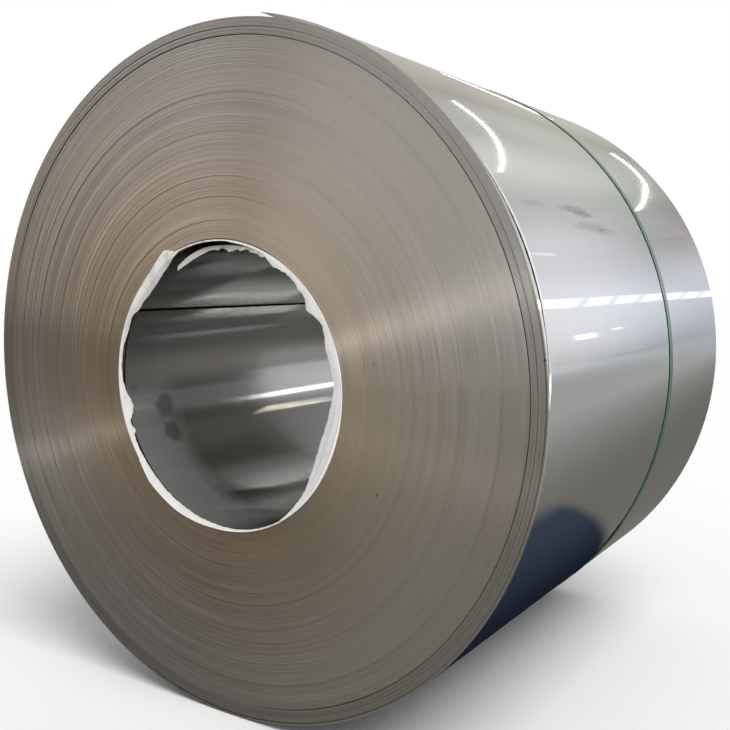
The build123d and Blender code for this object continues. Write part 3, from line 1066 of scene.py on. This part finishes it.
# %% [markdown]
# ## Windows and tubes
# The sharp streaks in the bore and on the strip are mirrored windows and lamps. They could be painted on the steel, but
# would then stay where they are when the view turns. So a row of windows along one side and tubes overhead are plain
# glowing panels, again seen by reflections alone.

# %% A glowing panel
def panel(name, centre, width, height, facing, color, strength, along=None):
    """A plain glowing panel that only reflections see. Its width lies level."""
    paint, _, glow = glowing(name + "_glow", strength)
    glow.inputs["Color"].default_value = (*color, 1)
    out = (Vector(facing) - Vector(centre)).normalized()
    level = Vector(along).normalized() if along else out.cross(Vector((0, 0, -1))).normalized()
    turn = Matrix((level, out.cross(level), out)).transposed().to_4x4()
    bm = bmesh.new()
    bmesh.ops.create_grid(bm, x_segments=1, y_segments=1, size=0.5)
    bmesh.ops.scale(bm, vec=(width, height, 1), verts=bm.verts)
    bmesh.ops.transform(bm, matrix=Matrix.Translation(centre) @ turn, verts=bm.verts)
    only_reflected(stage_object(name, bm, paint))


daylight_white, pane_blue = (0.95, 0.98, 1.0), (0.92, 0.95, 1.0)
window_count, first_window, window_pitch, bright_until = 14, 3.56, 0.9, 5.5
for number in range(window_count):
    y = first_window + window_pitch * number
    strength = 6.0 if y < bright_until else 1.55
    panel(f"window_{number}", (2.92, y, 1.845), 0.74, 0.215, (1.92, y, 0.845), daylight_white, strength)
panel("low_pane", (3.0, 6.3, 1.095), 0.53, 0.10, (0, 6.3, 1.095), pane_blue, 2.2)
panel("small_pane", (3.0, 7.27, 1.165), 0.30, 0.04, (0, 7.27, 1.165), pane_blue, 2.0)
print(window_count + 2, "windows")

# %% Tubes and door
tube_white, tube_warm, door_white = (1.0, 1.0, 0.96), (1.0, 0.93, 0.75), (1.0, 0.98, 0.94)
tube_height, slant = 5.0, (0.967, 0.255, 0)
# name, x and y, length, width, colour and strength
tubes = (
    ("tube_near", -0.27, 7.65, 2.75, 0.045, tube_white, 6.0), ("tube_far", -0.11, 13.05, 3.35, 0.09, tube_white, 6.0),
    ("tube_over", 0.10, 5.3, 0.55, 0.12, tube_white, 8.0), ("tube_side", 6.1, 9.5, 1.4, 0.20, tube_warm, 14.0),
    ("tube_left", -4.85, 12.4, 2.4, 0.5, tube_white, 4.0),
)
for name, x, y, length, width, color, strength in tubes:
    panel(name, (x, y, tube_height), length, width, (x, y, 0), color, strength, slant)
panel("door", (0.0, -14.0, 2.2), 0.7, 0.7, axis_point, door_white, 24.0)
print(len(tubes), "tubes and a door")

# %% [markdown]
# ## Daylight
# The paper and the floor are lit from above, from the right and a little from the front, with a shadow that has no
# edge. Area lamps could do it, but a wide sun needs only one lamp. It isn't mirrored, because the panels already are.

# %% Daylight
sun_data = bpy.data.lights.new("daylight", "SUN")
sun_data.energy, sun_data.angle = 1.95, radians(40)
sun = bpy.data.objects.new("daylight", sun_data)
sun.rotation_euler = Vector((-0.55, 0.30, -1.0)).to_track_quat("-Z", "Y").to_euler()
sun.visible_glossy = False
scene.collection.objects.link(sun)
print("daylight", sun_data.energy, "from", tuple(round(degrees(turn), 1) for turn in sun.rotation_euler))

# %% [markdown]
# ## Camera
# The camera stands where a fit of the coil's edges puts it: low, to the right of the front end, and close. The fit was
# made in units of the coil's radius, so its numbers are scaled and counted from the axis. The lens is shifted a little,
# as a cropped picture is.

# %% Camera
lens = bpy.data.cameras.new("view")
lens.sensor_width, lens.lens = 36.0, 44.738
lens.shift_x, lens.shift_y = -0.00251, 0.08958
camera = bpy.data.objects.new("view", lens)
unit_size = 0.6128
camera.location = Vector((1.76971, -2.74885, 0.31904)) * unit_size + axis_point
target = Vector((-0.0327, 0.0, -0.24021)) * unit_size + axis_point
camera.rotation_euler = (target - camera.location).to_track_quat("-Z", "Y").to_euler()
scene.collection.objects.link(camera)
scene.camera = camera
print("camera at", tuple(round(place, 3) for place in camera.location))
